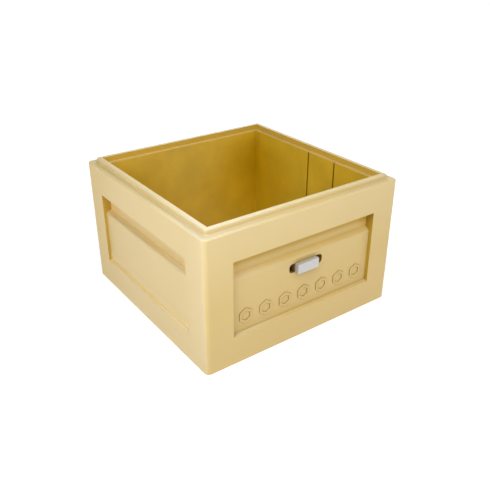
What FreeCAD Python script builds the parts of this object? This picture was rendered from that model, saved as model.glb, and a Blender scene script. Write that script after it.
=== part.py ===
"""Deep insulated hive box: a square twin-skin body, open at top and bottom.

Frame: +Z up, origin at the centre of the base, the entrance in the -Y wall.
Lengths are in millimetres.  "Inset" is a distance inwards from an outer wall
face, so the section of every wall is drawn once as (inset, z) and used on
all four sides.
"""
import FreeCAD
import Part
import os
from FreeCAD import Vector

# Driving dimensions -------------------------------------------------------

WIDTH = 500.0             # outer side of the square plan
SHOULDER_Z = 300.0        # seat for the next box, so also the stacking pitch
LIP_HEIGHT = 10.0         # locating lip above the shoulder
CORNER_RADIUS = 11.0      # upright outer corners
SHOULDER_RADIUS = 3.0     # rounding of the shoulder's outer edge
FOOT_RADIUS = 2.0         # rounding of the bottom outer edge
SKIN = 3.0                # wall of the outer casing

LIP_FOOT_INSET = 14.5     # where the lip's slope meets the shoulder
LIP_CREST_INSET = 17.0    # outer edge of the lip's flat top
LIP_CREST_RADIUS = 2.5
LIP_ROOT_RADIUS = 3.0
LIP_FOOT_CORNER = 9.0     # plan corners of the lip, at its foot and its crest
LIP_CREST_CORNER = 4.0
OPENING_INSET = 27.5      # top opening, 445 square
CAVITY_INSET = 34.5       # inner wall faces, 431 square
LINER = 2.5               # wall of the inner lining
LEDGE_Z = 297.5           # seat for the frame lugs
REST_STRIP = 1.5          # thickness of the frame-rest strips

RECESS_HALF = 185.0       # half length of the sunk panel on each wall
RECESS_TOP_Z = 236.7
RECESS_BOTTOM_Z = 66.0
PANEL_DEPTH_FRONT = 9.7   # the entrance side is sunk deeper than the others
PANEL_DEPTH = 6.8
GRIP_DEPTH = 20.0         # finger pocket along the top of the panel
GRIP_FOOT_Z_FRONT = 201.0  # lower end of the pocket's upright back
GRIP_FOOT_Z = 195.5
GRIP_FOOT_RADIUS = 2.5
RAMP_Z = 190.5            # where the ramp under the pocket meets the panel
RAMP_RADIUS = 6.0

SLOT_X = 3.8              # entrance slot in the front wall
SLOT_Z = 167.6
SLOT_LENGTH = 88.0
SLOT_HEIGHT = 21.0
SLOT_RADIUS = 8.0
SLEEVE = 2.0              # wall of the sleeve that carries the slot inwards

PLUG_X = 2.2              # the plug sits a little off the slot's centre
PLUG_Z = 167.4
PLUG_HEAD = (55.5, 11.5, 21.8)    # width, depth and height outside the panel
PLUG_BODY_WIDTH = 52.0
PLUG_SIDE_CLEARANCE = 0.3         # above and below the body in the slot
PLUG_CHAMFER = 0.8

SEAM_Y = -42.0            # centre of the lining's closing strip, right wall
SEAM_PITCH = 90.0         # between the two open joints
SEAM_GAP = 3.0
SEAM_STEP = 3.0           # the lining steps back this far behind the strip
SEAM_LAP = 14.0           # the step's width beyond each joint

BASE_REBATE = 10.5        # underside hollow that takes the lip of the box below
BASE_REBATE_INSET = 14.0
BASE_PLATE = 3.5          # thickness of the ring over the rebate

SCREW_RADIUS = 1.75
SCREW_HEAD_RADIUS = 3.5
SCREW_HEAD = 2.5
SCREW_LENGTH = 16.0
SCREW_INSET = 8.5         # from the outer face to the row of screws
SCREW_PITCH = 200.0
SCREW_SINK = 1.0          # heads sit this far up inside the foot
BOSS_WIDTH = 10.0         # block inside the casing that each screw bites into
BOSS_INSET = 14.0
BOSS_HEIGHT = 20.0

MARK_COUNT = 7            # raised six-sided rings along the front panel
MARK_PITCH = 50.0
MARK_Z = 101.0
MARK_RADIUS = 17.0
MARK_BAND = 5.0
MARK_RISE = 1.8

# Worked out from them -----------------------------------------------------

HALF = WIDTH / 2
LIP_Z = SHOULDER_Z + LIP_HEIGHT
REST_Z = LEDGE_Z - REST_STRIP             # top of the lining's flange
FLANGE_Z = REST_Z - LINER
BASE_TOP_Z = BASE_REBATE + BASE_PLATE
PANEL_Y = -HALF + PANEL_DEPTH_FRONT       # front panel, which the plug stands on
LINER_BACK = CAVITY_INSET - LINER         # inset of the lining's hidden face
LIP_SLOPE = (LIP_CREST_INSET - LIP_FOOT_INSET) / LIP_HEIGHT
SIDES = (("front", 0), ("right", 90), ("back", 180), ("left", 270))
FAR = 40.0                                # run-out for cutting tools


# Shapes -------------------------------------------------------------------

def square(inset, z0, z1):
    """Sharp-cornered square block, inset from the outer faces."""
    side = WIDTH - 2 * inset
    return Part.makeBox(side, side, z1 - z0, Vector(inset - HALF, inset - HALF, z0))


def rounded_wire(inset, radius, z):
    """Rounded square outline at height z."""
    half = HALF - inset
    corner = half - radius
    bulge = corner + radius * 2 ** -0.5
    edges = []
    for turn in range(4):
        spin = FreeCAD.Rotation(Vector(0, 0, 1), 90 * turn)
        points = [Vector(half, -corner, z), Vector(half, corner, z),
                  Vector(bulge, bulge, z), Vector(corner, half, z)]
        a, b, c, d = [spin.multVec(p) for p in points]
        edges.append(Part.LineSegment(a, b).toShape())
        edges.append(Part.Arc(b, c, d).toShape())
    return Part.Wire(edges)


def rounded_frustum(inset0, radius0, z0, inset1, radius1, z1):
    """Block between two rounded squares of different inset."""
    wires = [rounded_wire(inset0, radius0, z0), rounded_wire(inset1, radius1, z1)]
    return Part.makeLoft(wires, True, True)


def prism(points, direction):
    """Closed outline of straight edges, swept along a vector."""
    outline = Part.makePolygon(list(points) + [points[0]])
    return Part.Face(outline).extrude(direction)


def around(shape, angle):
    """Copy of a front-wall shape, turned about the box's axis."""
    copy = shape.copy()
    copy.rotate(Vector(0, 0, 0), Vector(0, 0, 1), angle)
    return copy


def wall_sector(angle):
    """One mitred quarter of the plan, for splitting rings into four."""
    reach = HALF + FAR
    corners = [Vector(0, 0, -FAR), Vector(-reach, -reach, -FAR), Vector(reach, -reach, -FAR)]
    return around(prism(corners, Vector(0, 0, LIP_Z + 2 * FAR)), angle)


def edges_where(shape, test):
    """Edges whose every vertex and middle point pass the test."""
    found = []
    for edge in shape.Edges:
        middle = edge.valueAt((edge.FirstParameter + edge.LastParameter) / 2)
        points = [v.Point for v in edge.Vertexes] + [middle]
        if all(test(p) for p in points):
            found.append(edge)
    return found


def plan_inset(point):
    """How far a point lies inside the outer faces."""
    return HALF - max(abs(point.x), abs(point.y))


def recess_tool(side, angle, grow):
    """Solid of one wall's sunk panel and grip, grown all round.

    The outline is (inset, z): flat ceiling, upright pocket back, a ramp out to
    the panel, the panel and a flat bottom.  With grow at 0 it cuts the outer
    face; otherwise it starts at that face.
    """
    face = -HALF - (FAR if grow == 0 else 0)
    back = -HALF + GRIP_DEPTH + grow
    panel = -HALF + (PANEL_DEPTH_FRONT if side == "front" else PANEL_DEPTH) + grow
    foot = (GRIP_FOOT_Z_FRONT if side == "front" else GRIP_FOOT_Z) - grow
    left = -RECESS_HALF - grow
    outline = [(face, RECESS_TOP_Z + grow), (back, RECESS_TOP_Z + grow), (back, foot),
               (panel, RAMP_Z - grow), (panel, RECESS_BOTTOM_Z - grow), (face, RECESS_BOTTOM_Z - grow)]
    tool = prism([Vector(left, y, z) for y, z in outline], Vector(-2 * left, 0, 0))
    for y, z, radius in ((back, foot, GRIP_FOOT_RADIUS), (panel, RAMP_Z - grow, RAMP_RADIUS)):
        bend = edges_where(tool, lambda p: abs(p.y - y) < 0.01 and abs(p.z - z) < 0.01)
        tool = tool.makeFillet(radius, bend)
    return around(tool, angle)


def slot_tool(grow, y0, y1):
    """Rounded slot through the front wall, grown all round, from y0 to y1."""
    width = SLOT_LENGTH + 2 * grow
    height = SLOT_HEIGHT + 2 * grow
    corner = Vector(SLOT_X - width / 2, y0, SLOT_Z - height / 2)
    block = Part.makeBox(width, y1 - y0, height, corner)
    along = [e for e in block.Edges
             if abs(e.Vertexes[0].Point.y - e.Vertexes[1].Point.y) > 1]
    return block.makeFillet(SLOT_RADIUS + grow, along)


def hexagon(radius, y0, depth, x):
    """Six-sided prism standing on the front panel with a corner up."""
    corners = []
    for step in range(6):
        spin = FreeCAD.Rotation(Vector(0, 1, 0), 60 * step)
        corners.append(Vector(x, y0, MARK_Z) + spin.multVec(Vector(0, 0, radius)))
    return prism(corners, Vector(0, depth, 0))


# Outer casing -------------------------------------------------------------

def casing_block():
    """Solid outside shape: body, shoulder and sloping lip."""
    body = square(0, 0, SHOULDER_Z)
    upright = edges_where(body, lambda p: abs(abs(p.x) - HALF) < 1 and abs(abs(p.y) - HALF) < 1)
    body = body.makeFillet(CORNER_RADIUS, upright)
    body = body.makeFillet(SHOULDER_RADIUS, edges_where(body, lambda p: p.z > SHOULDER_Z - 1))
    body = body.makeFillet(FOOT_RADIUS, edges_where(body, lambda p: p.z < 1))
    lip = rounded_frustum(LIP_FOOT_INSET, LIP_FOOT_CORNER, SHOULDER_Z,
                          LIP_CREST_INSET, LIP_CREST_CORNER, LIP_Z)
    lip = lip.makeFillet(LIP_CREST_RADIUS, edges_where(lip, lambda p: p.z > LIP_Z - 1))
    block = body.fuse(lip)
    root = edges_where(block, lambda p: abs(p.z - SHOULDER_Z) < 0.01
                       and plan_inset(p) > LIP_FOOT_INSET - 1)
    return block.makeFillet(LIP_ROOT_RADIUS, root)


def casing_void():
    """The space inside the casing that the insulation fills, before recesses."""
    roof_z = SHOULDER_Z - SKIN
    hollow = rounded_frustum(SKIN, CORNER_RADIUS - SKIN, -FAR, SKIN, CORNER_RADIUS - SKIN, roof_z)
    lip_roof_z = LIP_Z - 2 * SKIN
    slope_foot = LIP_FOOT_INSET + (1 - LIP_SLOPE) * SKIN
    slope_top = slope_foot + LIP_SLOPE * (lip_roof_z - roof_z)
    tongue = rounded_frustum(slope_foot, LIP_CREST_CORNER, roof_z,
                             slope_top, LIP_CREST_CORNER, lip_roof_z)
    rim_skin = square(OPENING_INSET - SKIN, REST_Z, LIP_Z)
    return hollow.fuse(tongue).cut(rim_skin)


def marks():
    """Row of raised six-sided rings that dresses the front panel."""
    rings = []
    for index in range(MARK_COUNT):
        x = (index - (MARK_COUNT - 1) / 2) * MARK_PITCH
        ring = hexagon(MARK_RADIUS, PANEL_Y - MARK_RISE, MARK_RISE + 1, x)
        ring = ring.cut(hexagon(MARK_RADIUS - MARK_BAND, PANEL_Y - FAR, 2 * FAR, x))
        rings.append(ring)
    return rings


def screw_places():
    """Foot positions of the screws, two along each wall."""
    places = []
    for _, angle in SIDES:
        spin = FreeCAD.Rotation(Vector(0, 0, 1), angle)
        for side in (-1, 1):
            foot = Vector(side * SCREW_PITCH / 2, -HALF + SCREW_INSET, SCREW_SINK)
            places.append(spin.multVec(foot))
    return places


def screw(foot):
    head = Part.makeCylinder(SCREW_HEAD_RADIUS, SCREW_HEAD, foot)
    shank = Part.makeCylinder(SCREW_RADIUS, SCREW_LENGTH, foot + Vector(0, 0, SCREW_HEAD))
    return head.fuse(shank).removeSplitter()


def screw_bosses():
    """Blocks on the inside of the casing, one over each screw."""
    bosses = []
    for _, angle in SIDES:
        for side in (-1, 1):
            corner = Vector(side * SCREW_PITCH / 2 - BOSS_WIDTH / 2, -HALF + SKIN, BASE_TOP_Z)
            boss = Part.makeBox(BOSS_WIDTH, BOSS_INSET - SKIN, BOSS_HEIGHT, corner)
            bosses.append(around(boss, angle))
    return bosses


def outer_shell(void, screws):
    shell = casing_block().cut(square(OPENING_INSET, -FAR, LIP_Z + FAR))
    shell = shell.cut(void).fuse(screw_bosses()).cut(screws)
    for side, angle in SIDES:
        shell = shell.cut(recess_tool(side, angle, 0))
    shell = shell.cut(slot_tool(0, -HALF - FAR, -HALF + FAR))
    return shell.fuse(marks()).removeSplitter()


# Lining and what closes it ------------------------------------------------

def seam_tools():
    """Boxes for the stepped-back band behind the strip and for the strip."""
    half_band = SEAM_PITCH / 2 + SEAM_LAP
    face = HALF - CAVITY_INSET
    height = FLANGE_Z - BASE_TOP_Z
    pocket_half = (SEAM_PITCH + SEAM_GAP) / 2
    strip_half = (SEAM_PITCH - SEAM_GAP) / 2
    pocket = Part.makeBox(SEAM_STEP + 1, 2 * pocket_half, height,
                          Vector(face - 1, SEAM_Y - pocket_half, BASE_TOP_Z))
    band = Part.makeBox(SEAM_STEP + LINER, 2 * half_band, height,
                        Vector(face, SEAM_Y - half_band, BASE_TOP_Z))
    strip = Part.makeBox(SEAM_STEP, 2 * strip_half, height,
                         Vector(face, SEAM_Y - strip_half, BASE_TOP_Z))
    return pocket, band, strip


def inner_liner():
    """Square tube with an outward flange that carries the frame rests."""
    pocket, band, _ = seam_tools()
    tube = square(LINER_BACK, BASE_TOP_Z, REST_Z)
    flange = square(OPENING_INSET - SKIN, FLANGE_Z, REST_Z)
    tube = tube.fuse([flange, band])
    tube = tube.cut([square(CAVITY_INSET, -FAR, LIP_Z + FAR), pocket])
    return tube.cut(slot_tool(0, -HALF, -HALF + 2 * FAR)).removeSplitter()


def insulation_ring(void):
    """Everything between the two skins, above the base ring."""
    ring = void.common(square(0, BASE_TOP_Z, LIP_Z))
    ring = ring.cut(square(LINER_BACK, -FAR, LIP_Z + FAR))
    ring = ring.cut(square(OPENING_INSET - SKIN, FLANGE_Z, LIP_Z + FAR))
    _, band, _ = seam_tools()
    ring = ring.cut([band, slot_tool(SLEEVE, -HALF, -HALF + 2 * FAR)])
    return ring.cut(screw_bosses())


def base_ring():
    """Foot and closing ring, hollowed to fit over the lip of the box below."""
    slope_top = BASE_REBATE_INSET + LIP_SLOPE * BASE_REBATE
    ring = rounded_frustum(SKIN, CORNER_RADIUS - SKIN, 0, SKIN, CORNER_RADIUS - SKIN, BASE_TOP_Z)
    rebate = rounded_frustum(BASE_REBATE_INSET, LIP_FOOT_CORNER, 0,
                             slope_top, LIP_CREST_CORNER, BASE_REBATE)
    return ring.cut([rebate, square(CAVITY_INSET, -FAR, LIP_Z)])


def frame_rest(angle):
    """Mitred strip on the ledge of one wall."""
    ring = square(OPENING_INSET, REST_Z, LEDGE_Z).cut(square(CAVITY_INSET, 0, LIP_Z))
    return ring.common(wall_sector(angle))


# Entrance -----------------------------------------------------------------

def entrance_sleeve():
    """Short tube that carries the slot from one skin to the other."""
    y0 = PANEL_Y + SKIN
    y1 = -HALF + LINER_BACK
    return slot_tool(SLEEVE, y0, y1).cut(slot_tool(0, y0 - 1, y1 + 1))


def entrance_plug():
    """Block with a chamfered head outside and a plain body in the slot."""
    width, depth, height = PLUG_HEAD
    head = Part.makeBox(width, depth, height,
                        Vector(PLUG_X - width / 2, PANEL_Y - depth, PLUG_Z - height / 2))
    front_edges = edges_where(head, lambda p: p.y < PANEL_Y - depth + 0.1)
    head = head.makeChamfer(PLUG_CHAMFER, front_edges)
    body_height = SLOT_HEIGHT - 2 * PLUG_SIDE_CLEARANCE
    body_depth = CAVITY_INSET - PANEL_DEPTH_FRONT
    body = Part.makeBox(PLUG_BODY_WIDTH, body_depth, body_height,
                        Vector(PLUG_X - PLUG_BODY_WIDTH / 2, PANEL_Y, SLOT_Z - body_height / 2))
    return head.fuse(body).removeSplitter()


# Assembly -----------------------------------------------------------------

def build():
    """All the pieces, by node name."""
    void = casing_void()
    for side, angle in SIDES:
        void = void.cut(recess_tool(side, angle, SKIN))
    screws = [screw(place) for place in screw_places()]
    ring = insulation_ring(void)
    nodes = {
        "outer_shell": outer_shell(void, screws),
        "inner_liner": inner_liner(),
        "liner_joint_strip": seam_tools()[2],
        "base_ring": base_ring().cut(screws),
        "base_screws": Part.makeCompound(screws),
        "entrance_sleeve": entrance_sleeve(),
        "entrance_plug": entrance_plug(),
    }
    for name, angle in SIDES:
        nodes["insulation_" + name] = ring.common(wall_sector(angle))
        nodes["frame_rest_" + name] = frame_rest(angle)
    return nodes


os.makedirs("parts", exist_ok=True)
for node, shape in build().items():
    print(node, "solids", len(shape.Solids), "valid", shape.isValid(),
          "litres", round(shape.Volume / 1e6, 4))
    shape.exportStep("parts/" + node + ".step")
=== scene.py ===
"""Looks of the hive box: procedural materials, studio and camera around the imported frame."""

from collections import namedtuple
import math
from types import SimpleNamespace

import bpy
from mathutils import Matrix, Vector


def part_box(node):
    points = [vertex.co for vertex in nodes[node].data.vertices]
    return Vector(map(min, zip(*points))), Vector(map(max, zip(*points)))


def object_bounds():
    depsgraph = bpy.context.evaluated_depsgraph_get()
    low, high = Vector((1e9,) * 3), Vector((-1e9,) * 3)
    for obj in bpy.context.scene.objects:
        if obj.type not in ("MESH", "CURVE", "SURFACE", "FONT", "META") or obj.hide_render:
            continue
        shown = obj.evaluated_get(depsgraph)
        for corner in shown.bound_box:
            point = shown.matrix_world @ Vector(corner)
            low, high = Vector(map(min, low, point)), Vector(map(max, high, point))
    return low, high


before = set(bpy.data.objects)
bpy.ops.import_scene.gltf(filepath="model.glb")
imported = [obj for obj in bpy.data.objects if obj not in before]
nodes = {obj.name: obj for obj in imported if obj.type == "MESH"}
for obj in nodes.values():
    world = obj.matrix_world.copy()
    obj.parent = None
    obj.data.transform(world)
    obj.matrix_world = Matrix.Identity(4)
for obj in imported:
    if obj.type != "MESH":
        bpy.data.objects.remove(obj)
cad_low, cad_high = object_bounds()
SIDES = ("front", "right", "back", "left")

# Linear colours of the moulded plastic, and of the painted shade and sheen laid on it
CREAM = (0.555, 0.42, 0.215)
# Painted tone of the entrance wall, with its painted shade towards the foot
ENTRANCE_TOP = (0.565, 0.437, 0.222)
ENTRANCE_LOW = (0.542, 0.392, 0.163)
# Painted shade of the left wall towards the back
FAR_LEFT_SHADE = (0.515, 0.372, 0.160)
# Painted sheen by the near upright edge
SHEEN_PALE = (0.60, 0.485, 0.32)
# Painted shade in gold: in creases, round the rings, in the recesses and grips, and on the faces
# across them
HOLLOW_SHADE = (0.335, 0.20, 0.012)
# Painted shade on the faces that cross the side recesses
SIDE_WALL_SHADE = (0.44, 0.265, 0.027)
# Painted shade in the grips and by the entrance recess's near end
GRIP_SHADE = (0.40, 0.24, 0.005)
# Painted shade on the rim's inner walls
RIM_SHADE = (0.46, 0.275, 0.03)
# The lining's deep gold is partly the plastic's own tone and partly painted shade of the box's
# inside
LINING = (0.51, 0.325, 0.045)
# Painted shade down the lining's corners
LINING_CORNER_SHADE = (0.43, 0.235, 0.0005)
GOLDEN_TINT = (1.0, 0.97, 0.43)
# Deep painted shade: in the slot, in the sleeve's grooves, beside the lining's joints and on the
# plug where it is hidden
DEEP_SHADE = (0.175, 0.08, 0.0005)
# The frame rests' deeper cream is partly the plastic's own tone and partly painted shade of the
# box's inside
REST_CREAM = (0.52, 0.36, 0.13)

# Linear colours of everything else
PLUG_GREY = (0.50, 0.50, 0.54)
# Painted shade of the plug's top and sides
PLUG_SIDE_SHADE = (0.37, 0.345, 0.32)
FOAM_BETWEEN_BEADS = (0.55, 0.53, 0.47)
FOAM_BEADS = (0.80, 0.78, 0.72)
ZINC_BLUE = (0.55, 0.56, 0.58)
ZINC_YELLOW = (0.68, 0.68, 0.66)
WHITE = (1.0, 1.0, 1.0)
WARM_LIGHT = (1.0, 0.82, 0.35)
COOL_LIGHT = (0.86, 0.95, 1.0)
TEAL_LIGHT = (0.7, 0.9, 1.0)

# Places in metres; an inset is measured inwards from the outer faces
HALF = cad_high.x                                   # outer faces of the walls
OPENING_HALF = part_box("frame_rest_front")[1][0]     # inner faces of the rim
LEDGE_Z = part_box("frame_rest_front")[1][2]
STRIP_LOW, STRIP_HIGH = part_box("liner_joint_strip")
JOINT_GAP = 0.003                                   # at either side of the strip
SLOT_Z = sum(corner[2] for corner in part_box("entrance_sleeve")) / 2
SLOT_REACH = 0.014                                  # above and below the slot's middle
SLOT_INSET = 0.0099                                 # at that height, anything deeper is in the slot
RECESS_HALF = 0.1855                                # half the length of a recess
RECESS_LIMIT_Z = LEDGE_Z - 0.01                     # no recess reaches this high
PANEL_INSET = 0.0105                                # anything deeper is in a grip or the slot
PANEL_MIDDLE_HALF = 0.172                           # the entrance panel within its edges
PANEL_MIDDLE_Z = (0.078, 0.187)
RECESS_FOOT_Z = 0.085                               # the recess's foot is below this
BESIDE_WALL = 0.2                                   # a lining wall is further out than this
FACE_PLAY = 0.001                                   # a test for a face starts this short of it


# Shader helpers -----------------------------------------------------------

OPENNESS_SAMPLES = 8

# Straight run of a value: it is `first` up to `start`, and `last` from `end` on.
Ramp = namedtuple("Ramp", "start end first last")


def new_material(name):
    """Empty node material with a Principled shader; returns (material, tree, shader)."""
    material = bpy.data.materials.new(name)
    material.use_nodes = True
    tree = material.node_tree
    tree.nodes.clear()
    output = tree.nodes.new("ShaderNodeOutputMaterial")
    shader = tree.nodes.new("ShaderNodeBsdfPrincipled")
    tree.links.new(shader.outputs["BSDF"], output.inputs["Surface"])
    return material, tree, shader


def noise(tree, scale, detail=3.0, rough=0.5):
    """Noise texture in object space, so that it sticks to the piece."""
    where = tree.nodes.new("ShaderNodeTexCoord")
    texture = tree.nodes.new("ShaderNodeTexNoise")
    texture.inputs["Scale"].default_value = scale
    texture.inputs["Detail"].default_value = detail
    texture.inputs["Roughness"].default_value = rough
    tree.links.new(where.outputs["Object"], texture.inputs["Vector"])
    return texture.outputs["Fac"]


def remap(tree, value, ramp):
    """Run a number socket through a Ramp."""
    node = tree.nodes.new("ShaderNodeMapRange")
    for name, number in zip(("From Min", "From Max", "To Min", "To Max"), ramp):
        node.inputs[name].default_value = number
    tree.links.new(value, node.inputs["Value"])
    return node.outputs["Result"]


def mix(tree, factor, a, b, how="MIX"):
    """Colour mix; a and b are colours or sockets."""
    node = tree.nodes.new("ShaderNodeMix")
    node.data_type = "RGBA"
    node.blend_type = how
    colour_inputs = [s for s in node.inputs if s.type == "RGBA"]
    for socket, value in zip(colour_inputs, (a, b)):
        if isinstance(value, tuple):
            socket.default_value = (*value, 1.0)
        else:
            tree.links.new(value, socket)
    if isinstance(factor, float):
        node.inputs["Factor"].default_value = factor
    else:
        tree.links.new(factor, node.inputs["Factor"])
    return [s for s in node.outputs if s.type == "RGBA"][0]


def math_node(tree, operation, a, b=None):
    """Maths on one or two values; each is a socket or a number."""
    node = tree.nodes.new("ShaderNodeMath")
    node.operation = operation
    for socket, value in zip(node.inputs, (a, b)):
        if isinstance(value, float):
            socket.default_value = value
        elif value is not None:
            tree.links.new(value, socket)
    return node.outputs["Value"]


def plus(tree, a, b):
    return math_node(tree, "ADD", a, b)


def minus(tree, a, b):
    return math_node(tree, "SUBTRACT", a, b)


def product(tree, *factors):
    """Product of two or more values."""
    result = factors[0]
    for factor in factors[1:]:
        result = math_node(tree, "MULTIPLY", result, factor)
    return result


def absolute(tree, value):
    return math_node(tree, "ABSOLUTE", value)


def larger(tree, a, b):
    return math_node(tree, "MAXIMUM", a, b)


def smaller(tree, a, b):
    return math_node(tree, "MINIMUM", a, b)


def above(tree, value, limit):
    """1 where the value is over the limit, else 0."""
    return math_node(tree, "GREATER_THAN", value, limit)


def below(tree, value, limit):
    """1 where the value is under the limit, else 0."""
    return math_node(tree, "LESS_THAN", value, limit)


def opposite(tree, mask):
    return minus(tree, 1.0, mask)


def axes_of(tree, name):
    """X, Y and Z of a coordinate: Object is the place, Normal the facing, Generated a direction."""
    where = tree.nodes.new("ShaderNodeTexCoord")
    axes = tree.nodes.new("ShaderNodeSeparateXYZ")
    tree.links.new(where.outputs[name], axes.inputs["Vector"])
    return [axes.outputs[axis] for axis in "XYZ"]


def tinted(tree, colour, strength):
    """A colour socket scaled by a number socket."""
    node = tree.nodes.new("ShaderNodeVectorMath")
    node.operation = "SCALE"
    tree.links.new(colour, node.inputs[0])
    tree.links.new(strength, node.inputs["Scale"])
    return node.outputs["Vector"]


def bump(tree, shader, height, distance, strength):
    """Bump from a height socket; distance is the full height in metres."""
    node = tree.nodes.new("ShaderNodeBump")
    node.inputs["Strength"].default_value = strength
    node.inputs["Distance"].default_value = distance
    tree.links.new(height, node.inputs["Height"])
    tree.links.new(node.outputs["Normal"], shader.inputs["Normal"])


def openness(tree, reach):
    """1 on open faces, falling towards 0 where other faces stand within reach."""
    node = tree.nodes.new("ShaderNodeAmbientOcclusion")
    node.samples = OPENNESS_SAMPLES
    node.inputs["Distance"].default_value = reach
    return node.outputs["AO"]


# Moulded plastic of the casing --------------------------------------------

PLASTIC_ROUGHNESS = Ramp(0.3, 0.7, 0.46, 0.54)      # over the grain
PLASTIC_SPECULAR = 0.5

# Masks by place
SUNK = Ramp(HALF - 0.0012, HALF - 0.0002, 1.0, 0.0)
POCKET = Ramp(HALF - PANEL_INSET - 0.006, HALF - PANEL_INSET, 1.0, 0.0)
RIM = Ramp(OPENING_HALF + 0.0001, OPENING_HALF + 0.0004, 1.0, 0.0)
FAR_LEFT = Ramp(0.06, 0.24, 0.0, 1.0)               # along Y
NEAR_END = Ramp(-0.180, -0.173, 1.0, 0.0)           # along X
# Painted sheen: by the near upright edge on the left wall, and further along on what faces up
SHEEN_WALL = Ramp(0.007, 0.06, 0.3, 0.0)         # from the near upright edge
SHEEN_TOP = Ramp(0.03, 0.22, 1.0, 0.0)           # from the same edge
SHEEN_ABOVE = Ramp(0.0, 0.05, 0.0, 1.0)          # up from the foot
ENTRANCE_LOWER = Ramp(0.15, 0.28, 1.0, 0.0)         # up from the foot
POCKET_ABOVE = Ramp(0.208, 0.218, 0.3, 1.0)         # the grip's foot gets less painted shade

# Masks by openness
# Painted shade in the lip's crease and round the raised rings
LIP_CREASE = Ramp(0.78, 0.93, 0.35, 0.0)
FINE_OUTLINE = Ramp(0.70, 0.97, 0.6, 0.0)
SOFT_OUTLINE = Ramp(0.76, 0.94, 0.45, 0.0)
# Painted shade in the grips, deeper by their edges
POCKET_EDGES = Ramp(0.86, 0.97, 0.8, 0.05)
# Painted light in the grips and at the foot of the side recesses
SIDE_GLOW = Ramp(0.50, 0.85, 0.38, 0.02)
FRONT_GLOW = Ramp(0.69, 0.85, 0.28, 0.05)
FOOT_GLOW = Ramp(0.75, 0.98, 0.22, 0.0)

SIDE_OR_ENTRANCE = Ramp(0.0, 1.0, 0.4, 1.0)         # share of a pocket's painted shade, by wall
POCKET_SHADE = 0.12                                  # least painted shade in a pocket
NEAR_END_SHADE = 0.25
CASING_DRIFT = Ramp(0.35, 0.65, 1.0, 1.03)          # over a slow noise


def wall_masks(tree):
    """Where a point of the casing lies; each mask runs from 0 to 1, and z is the height.

    entrance: the wall with the slot.  far_left: the left wall, more towards the back, for its
    painted shade.
    The painted sheen: beside the near upright edge, and further along on what faces up.
    sunk: the recesses, and across: the faces that cross them.  pocket: the grips.
    rim: the inner walls of the rim.  lip: above the ledge.  slot: inside the slot.
    middle: the entrance panel within its edges.  near_end: its end by the near edge.
    """
    place_x, place_y, z = axes_of(tree, "Object")
    x = absolute(tree, place_x)
    y = absolute(tree, place_y)
    out = larger(tree, x, y)
    along = smaller(tree, x, y)
    entrance = below(tree, plus(tree, place_y, x), 0.0)
    left = below(tree, plus(tree, place_x, y), 0.0)

    normal_x, normal_y, normal_z = axes_of(tree, "Normal")
    faces_x = above(tree, x, y)
    faces_y = opposite(tree, faces_x)
    outward = plus(tree, product(tree, absolute(tree, normal_x), faces_x),
                   product(tree, absolute(tree, normal_y), faces_y))
    upward = larger(tree, normal_z, 0.0)
    across = larger(tree, minus(tree, opposite(tree, outward), upward), 0.0)

    edge_x = plus(tree, place_x, HALF)
    edge_y = plus(tree, place_y, HALF)
    from_edge = math_node(tree, "SQRT", plus(tree, product(tree, edge_x, edge_x),
                                             product(tree, edge_y, edge_y)))
    # Painted sheen by the near upright edge
    painted_sheen = larger(tree, product(tree, left, remap(tree, from_edge, SHEEN_WALL)),
                      product(tree, upward, remap(tree, from_edge, SHEEN_TOP)))

    in_recess = product(tree, below(tree, along, RECESS_HALF), below(tree, z, RECESS_LIMIT_Z))
    sunk = product(tree, in_recess, remap(tree, out, SUNK))
    return SimpleNamespace(
        z=z,
        entrance=entrance,
        far_left=product(tree, left, remap(tree, place_y, FAR_LEFT), opposite(tree, upward)),
        painted_sheen=product(tree, painted_sheen, remap(tree, z, SHEEN_ABOVE)),
        sunk=sunk,
        across=product(tree, sunk, across),
        pocket=product(tree, remap(tree, out, POCKET), in_recess),
        rim=remap(tree, out, RIM),
        lip=above(tree, z, LEDGE_Z),
        slot=product(tree, entrance, below(tree, out, HALF - SLOT_INSET),
                     above(tree, z, SLOT_Z - SLOT_REACH), below(tree, z, SLOT_Z + SLOT_REACH)),
        middle=product(tree, entrance, below(tree, along, PANEL_MIDDLE_HALF),
                       above(tree, z, PANEL_MIDDLE_Z[0]), below(tree, z, PANEL_MIDDLE_Z[1])),
        near_end=product(tree, entrance, remap(tree, place_x, NEAR_END)),
    )


def finish_plastic(tree, shader, colour, specular=PLASTIC_SPECULAR):
    """Fine moulded grain over a colour."""
    grain = noise(tree, scale=900.0, detail=2.0)
    tree.links.new(colour, shader.inputs["Base Color"])
    tree.links.new(remap(tree, grain, PLASTIC_ROUGHNESS), shader.inputs["Roughness"])
    bump(tree, shader, grain, distance=0.0001, strength=0.35)
    shader.inputs["Specular IOR Level"].default_value = specular


def cream_walls(tree, place):
    """Cream of the outer faces, with painted light and shade: a painted tone on the entrance wall,
    shaded towards its foot, painted shade on the left wall towards the back, and a painted sheen by
    the near edge.
    """
    # Painted shade: the entrance wall darkens towards its foot, over a painted tone of its own
    low_down = remap(tree, place.z, ENTRANCE_LOWER)
    entrance_painted_shade = mix(tree, low_down, ENTRANCE_TOP, ENTRANCE_LOW)
    on_entrance = product(tree, place.entrance, opposite(tree, place.lip))
    colour = mix(tree, on_entrance, CREAM, entrance_painted_shade)
    # Painted shade on the left wall, darker towards the back
    colour = mix(tree, place.far_left, colour, FAR_LEFT_SHADE)
    # Painted sheen by the near edge
    return mix(tree, place.painted_sheen, colour, SHEEN_PALE)


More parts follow.
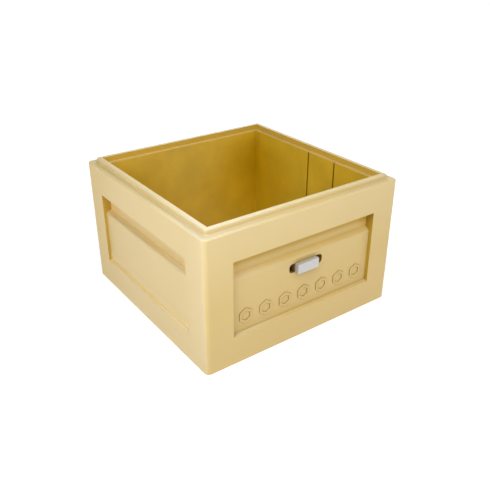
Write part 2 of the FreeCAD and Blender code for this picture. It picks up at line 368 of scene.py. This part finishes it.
def shade_in_hollows(tree, place, colour, hollow):
    """Painted shade in gold: in the lip's crease, round the raised rings, in the recesses, in the
    slot and on the rim's inner walls.
    """
    # Painted shade in the lip's crease
    crease = remap(tree, openness(tree, reach=0.012), LIP_CREASE)
    colour = mix(tree, product(tree, crease, place.lip), colour, HOLLOW_SHADE)
    # Painted shade round the raised rings
    outline = larger(tree, remap(tree, openness(tree, reach=0.006), FINE_OUTLINE),
                     remap(tree, openness(tree, reach=0.02), SOFT_OUTLINE))
    colour = mix(tree, product(tree, outline, place.sunk, place.middle), colour, HOLLOW_SHADE)
    # Painted shade on the entrance panel by its end at the near edge
    near_end = product(tree, place.sunk, place.near_end, NEAR_END_SHADE)
    colour = mix(tree, near_end, colour, GRIP_SHADE)
    # Painted shade in the grips, deeper by their edges
    edges = product(tree, remap(tree, hollow, POCKET_EDGES),
                    remap(tree, place.entrance, SIDE_OR_ENTRANCE),
                    remap(tree, place.z, POCKET_ABOVE))
    grip = plus(tree, edges, POCKET_SHADE)
    colour = mix(tree, product(tree, grip, place.pocket), colour, GRIP_SHADE)
    # Painted shade on the faces that cross the recesses
    across_shade = mix(tree, place.entrance, SIDE_WALL_SHADE, HOLLOW_SHADE)
    colour = mix(tree, place.across, colour, across_shade)
    # Painted shade inside the slot
    colour = mix(tree, place.slot, colour, DEEP_SHADE)
    # Painted shade on the rim's inner walls
    return mix(tree, place.rim, colour, RIM_SHADE)


def recess_painted_light(tree, place, hollow):
    """Painted light: extra brightness in the grips and at the foot of the side recesses, lifting
    their shade.
    """
    others = opposite(tree, place.entrance)
    depth = openness(tree, reach=0.08)
    side_glow = product(tree, others, remap(tree, depth, SIDE_GLOW))
    front_glow = product(tree, place.entrance, remap(tree, depth, FRONT_GLOW))
    pocket_glow = product(tree, place.pocket, plus(tree, side_glow, front_glow))
    foot = product(tree, place.sunk, others, below(tree, place.z, RECESS_FOOT_Z))
    foot_glow = product(tree, foot, remap(tree, hollow, FOOT_GLOW))
    glow = plus(tree, pocket_glow, foot_glow)
    return product(tree, glow, opposite(tree, place.across))


def casing_plastic():
    """Cream moulded plastic, with painted shade in gold in its hollows and on the rim's inner
    walls, and painted light in its recesses.
    """
    material, tree, shader = new_material("casing_plastic")
    place = wall_masks(tree)
    hollow = openness(tree, reach=0.03)
    colour = shade_in_hollows(tree, place, cream_walls(tree, place), hollow)
    drift = remap(tree, noise(tree, scale=6.0, detail=2.0), CASING_DRIFT)
    # Painted light in the recesses, over a slow drift of tone
    colour = tinted(tree, colour, plus(tree, drift, recess_painted_light(tree, place, hollow)))
    finish_plastic(tree, shader, colour)
    return material


# Lining, frame rests and sleeve -------------------------------------------

LINING_SPECULAR = 0.12
REST_PALER = 1.08                                   # palest against darkest, frame rests

# By openness
# Painted shade down the lining's corners and in its grooves
LINING_CORNERS = Ramp(0.52, 0.97, 1.0, 0.0)
GROOVE = Ramp(0.3, 0.62, 0.85, 0.0)

# By place
CORNERS_UP = Ramp(0.24, 0.295, 1.0, 0.4)            # corners are paler by the rim
CORNERS_DOWN = Ramp(0.05, 0.20, 0.6, 1.0)           # and by the foot
# Painted shade beside the lining's open joints
JOINT_SHADE = Ramp(0.0015, 0.0035, 0.6, 0.0)        # to either side of a joint's middle
GOLDEN_SIDE = Ramp(0.04, 0.20, 0.0, 1.0)            # along X
BACK_DARKER = Ramp(0.04, 0.15, 0.0, 1.0)             # along X, on the back wall
BACK_DARKER_UP = Ramp(0.27, 0.295, 1.0, 0.3)
RIGHT_DARKER = Ramp(0.08, 0.17, 0.45, 0.0)           # along Y, on the right wall
DARKER_UP = Ramp(0.15, 0.25, 0.0, 1.0)

LINING_CLOUD = Ramp(0.34, 0.66, 0.90, 1.08)         # over a cloudy noise
DARKER_BRIGHTNESS = Ramp(0.0, 1.0, 1.0, 0.84)             # brightness over the darker places
REST_DRIFT = Ramp(0.35, 0.65, 0.0, 1.0)


def lining_colour(tree, z):
    """Golden, with painted shade down the corners."""
    # Painted shade down the corners
    corners = product(tree, remap(tree, openness(tree, reach=0.24), LINING_CORNERS),
                      remap(tree, z, CORNERS_UP), remap(tree, z, CORNERS_DOWN))
    return mix(tree, corners, LINING, LINING_CORNER_SHADE)


def lining_grooves(tree, colour, x, y):
    """Painted shade in deep gold: in the grooves of the sleeve, which lies in the front wall, and
    beside the open joints.
    """
    in_wall = below(tree, y, -STRIP_HIGH[0])
    # Painted shade in the sleeve's grooves
    groove = remap(tree, openness(tree, reach=0.03), GROOVE)
    colour = mix(tree, product(tree, groove, in_wall), colour, DEEP_SHADE)
    # Painted shade beside the open joints
    from_joints = [absolute(tree, minus(tree, y, joint))
                   for joint in (STRIP_LOW[1] - JOINT_GAP / 2, STRIP_HIGH[1] + JOINT_GAP / 2)]
    on_strip_wall = above(tree, x, STRIP_LOW[0] - FACE_PLAY)
    joint_shade = product(tree, remap(tree, smaller(tree, *from_joints), JOINT_SHADE), on_strip_wall)
    return mix(tree, joint_shade, colour, DEEP_SHADE)


def lining_darker_high(tree, x, y, z):
    """Darker high up: on the back wall by the far corner, on the right wall away from it."""
    back = product(tree, remap(tree, x, BACK_DARKER), above(tree, y, BESIDE_WALL),
                   remap(tree, z, BACK_DARKER_UP))
    right = product(tree, above(tree, x, BESIDE_WALL), remap(tree, y, RIGHT_DARKER))
    return product(tree, larger(tree, back, right), remap(tree, z, DARKER_UP))


def lining_plastic():
    """Golden lining, cloudy, with painted shade down its corners, in its grooves and beside its
    joints, and darker high up on the back and right walls.
    """
    material, tree, shader = new_material("lining_plastic")
    x, y, z = axes_of(tree, "Object")
    colour = lining_grooves(tree, lining_colour(tree, z), x, y)
    golden = mix(tree, 1.0, colour, GOLDEN_TINT, how="MULTIPLY")
    colour = mix(tree, remap(tree, x, GOLDEN_SIDE), colour, golden)
    cloud = remap(tree, noise(tree, scale=12.0, detail=3.0, rough=0.55), LINING_CLOUD)
    shade = remap(tree, lining_darker_high(tree, x, y, z), DARKER_BRIGHTNESS)
    colour = tinted(tree, colour, product(tree, cloud, shade))
    finish_plastic(tree, shader, colour, specular=LINING_SPECULAR)
    return material


def rest_plastic():
    """Paler strips under the frame lugs."""
    material, tree, shader = new_material("rest_plastic")
    drift = remap(tree, noise(tree, scale=20.0), REST_DRIFT)
    paler = tuple(channel * REST_PALER for channel in REST_CREAM)
    finish_plastic(tree, shader, mix(tree, drift, REST_CREAM, paler))
    return material


# Foam, screws and plug ----------------------------------------------------

BEAD_SCALE = 260.0
BEAD_EDGE = Ramp(0.1, 0.7, 1.0, 0.85)               # over the distance from a bead's middle
FOAM_ROUGHNESS = 0.85
ZINC_ROUGHNESS = Ramp(0.3, 0.7, 0.28, 0.45)
PLUG_FRONT = Ramp(0.3, 0.95, 0.0, 1.0)              # over the share of the facing along Y
PLUG_HIDDEN_SHADE = Ramp(0.40, 0.62, 0.9, 0.0)            # over openness
PLUG_MOTTLE = Ramp(0.3, 0.7, 0.88, 1.02)
PLUG_ROUGHNESS = 0.5


def foam_board():
    """Expanded foam: pale, with rounded beads."""
    material, tree, shader = new_material("foam_board")
    where = tree.nodes.new("ShaderNodeTexCoord")
    beads = tree.nodes.new("ShaderNodeTexVoronoi")
    beads.inputs["Scale"].default_value = BEAD_SCALE
    tree.links.new(where.outputs["Object"], beads.inputs["Vector"])
    edge = remap(tree, beads.outputs["Distance"], BEAD_EDGE)
    colour = mix(tree, edge, FOAM_BETWEEN_BEADS, FOAM_BEADS)
    tree.links.new(colour, shader.inputs["Base Color"])
    bump(tree, shader, beads.outputs["Distance"], distance=0.0006, strength=0.6)
    shader.inputs["Roughness"].default_value = FOAM_ROUGHNESS
    return material


def zinc_steel():
    """Zinc-plated screws, slightly cloudy."""
    material, tree, shader = new_material("zinc_steel")
    cloud = remap(tree, noise(tree, scale=400.0), ZINC_ROUGHNESS)
    tree.links.new(cloud, shader.inputs["Roughness"])
    tint = mix(tree, noise(tree, scale=150.0), ZINC_BLUE, ZINC_YELLOW)
    tree.links.new(tint, shader.inputs["Base Color"])
    shader.inputs["Metallic"].default_value = 1.0
    return material


def plug_plastic():
    """Pale grey, lightly mottled block, with painted shade on its top and sides, and deep painted
    shade where it is hidden in the slot.
    """
    material, tree, shader = new_material("plug_plastic")
    normal_y = axes_of(tree, "Normal")[1]
    # Painted shade: the plug's top and sides darker than its front
    front = remap(tree, absolute(tree, normal_y), PLUG_FRONT)
    colour = mix(tree, front, PLUG_SIDE_SHADE, PLUG_GREY)
    # Painted shade where the plug is hidden in the slot
    hidden = remap(tree, openness(tree, reach=0.03), PLUG_HIDDEN_SHADE)
    colour = mix(tree, hidden, colour, DEEP_SHADE)
    mottle = remap(tree, noise(tree, scale=420.0, detail=4.0, rough=0.6), PLUG_MOTTLE)
    tree.links.new(tinted(tree, colour, mottle), shader.inputs["Base Color"])
    shader.inputs["Roughness"].default_value = PLUG_ROUGHNESS
    bump(tree, shader, noise(tree, scale=1100.0, detail=2.0), distance=0.0001, strength=0.4)
    return material


def assign(material, *names):
    """Give the named nodes one material."""
    for name in names:
        slots = nodes[name].data.materials
        slots.clear()
        slots.append(material)


assign(casing_plastic(), "outer_shell", "base_ring")
assign(lining_plastic(), "inner_liner", "liner_joint_strip", "entrance_sleeve")
assign(rest_plastic(), *["frame_rest_" + side for side in SIDES])
assign(foam_board(), *["insulation_" + side for side in SIDES])
assign(zinc_steel(), "base_screws")
assign(plug_plastic(), "entrance_plug")


# Studio -------------------------------------------------------------------

FLOOR_SIZE = 40.0
FLOOR_Z = -0.0005                                   # just clear of the box's foot
FLOOR_COLOUR = (0.5, 0.5, 0.5)
FLOOR_GLOW = Ramp(0.3, 2.4, 0.58, 0.95)             # over the distance from the middle
FLOOR_ROUGHNESS = 0.9
FLOOR_SPECULAR = 0.1

AIM = Vector((0.0, 0.0, 0.15))                      # what the lights point at
LIGHTS = (                                          # name, place, size, power, colour
    ("high_front", (0.6, -2.4, 2.0), 1.6, 23.5, WARM_LIGHT),
    ("low_left", (-2.8, -0.3, 0.8), 1.6, 13.8, WARM_LIGHT),
    ("near_left", (-1.2, -0.6, 1.0), 0.8, 8.0, COOL_LIGHT),
    ("near_top", (-0.5, -0.6, 1.5), 0.8, 17.0, COOL_LIGHT),
    ("high_right", (2.4, 0.2, 2.0), 1.6, 29.0, COOL_LIGHT),
    ("near_back", (0.9, 1.4, 1.3), 0.9, 13.0, TEAL_LIGHT),
)
CEILING_FADE = Ramp(0.05, 0.6, 0.9, 0.0)            # up from the horizon

CAMERA_PLACE = Vector((-1.4876, -2.1192, 1.5922))   # in sides of the box
CAMERA_DOWN = 27.97                                 # degrees below level
CAMERA_TURN = 35.87                                 # degrees to the right of +Y
LENS = 45.08                                        # mm, on the sensor's width below
SENSOR_WIDTH = 36.0


def studio_floor():
    """Plain white floor that glows more further out, so that it stays pale all round."""
    bpy.ops.mesh.primitive_plane_add(size=FLOOR_SIZE, location=(0, 0, FLOOR_Z))
    floor = bpy.context.object
    floor.name = "studio_floor"
    material, tree, shader = new_material("floor_white")
    shader.inputs["Base Color"].default_value = (*FLOOR_COLOUR, 1.0)
    shader.inputs["Roughness"].default_value = FLOOR_ROUGHNESS
    shader.inputs["Specular IOR Level"].default_value = FLOOR_SPECULAR
    where = tree.nodes.new("ShaderNodeTexCoord")
    distance = tree.nodes.new("ShaderNodeVectorMath")
    distance.operation = "LENGTH"
    tree.links.new(where.outputs["Object"], distance.inputs[0])
    glow = remap(tree, distance.outputs["Value"], FLOOR_GLOW)
    shader.inputs["Emission Color"].default_value = (*WHITE, 1.0)
    tree.links.new(glow, shader.inputs["Emission Strength"])
    floor.data.materials.append(material)


def studio_walls():
    """World that is white at the horizon and fades out towards the ceiling."""
    world = bpy.data.worlds.new("studio_walls")
    world.use_nodes = True
    tree = world.node_tree
    height = axes_of(tree, "Generated")[2]
    fade = remap(tree, height, CEILING_FADE)
    fade.node.interpolation_type = "SMOOTHSTEP"
    background = tree.nodes["Background"]
    background.inputs["Color"].default_value = (*WHITE, 1.0)
    tree.links.new(fade, background.inputs["Strength"])
    bpy.context.scene.world = world


def area_light(name, place, size, power, colour):
    """Round soft light aimed at the middle of the box."""
    light = bpy.data.lights.new(name, "AREA")
    light.shape = "DISK"
    light.size = size
    light.energy = power
    light.color = colour
    lamp = bpy.data.objects.new(name, light)
    lamp.location = place
    lamp.rotation_euler = (AIM - Vector(place)).to_track_quat("-Z", "Y").to_euler()
    bpy.context.scene.collection.objects.link(lamp)


def camera():
    """View from the front left, above the box."""
    side = cad_high.x - cad_low.x
    lens = bpy.data.cameras.new("camera")
    lens.lens = LENS
    lens.sensor_width = SENSOR_WIDTH
    view = bpy.data.objects.new("camera", lens)
    view.location = CAMERA_PLACE * side
    view.rotation_euler = (math.radians(90.0 - CAMERA_DOWN), 0.0, math.radians(-CAMERA_TURN))
    bpy.context.scene.collection.objects.link(view)
    bpy.context.scene.camera = view


studio_floor()
studio_walls()
for light_row in LIGHTS:
    area_light(*light_row)
camera()
bpy.context.scene.view_settings.view_transform = "Standard"
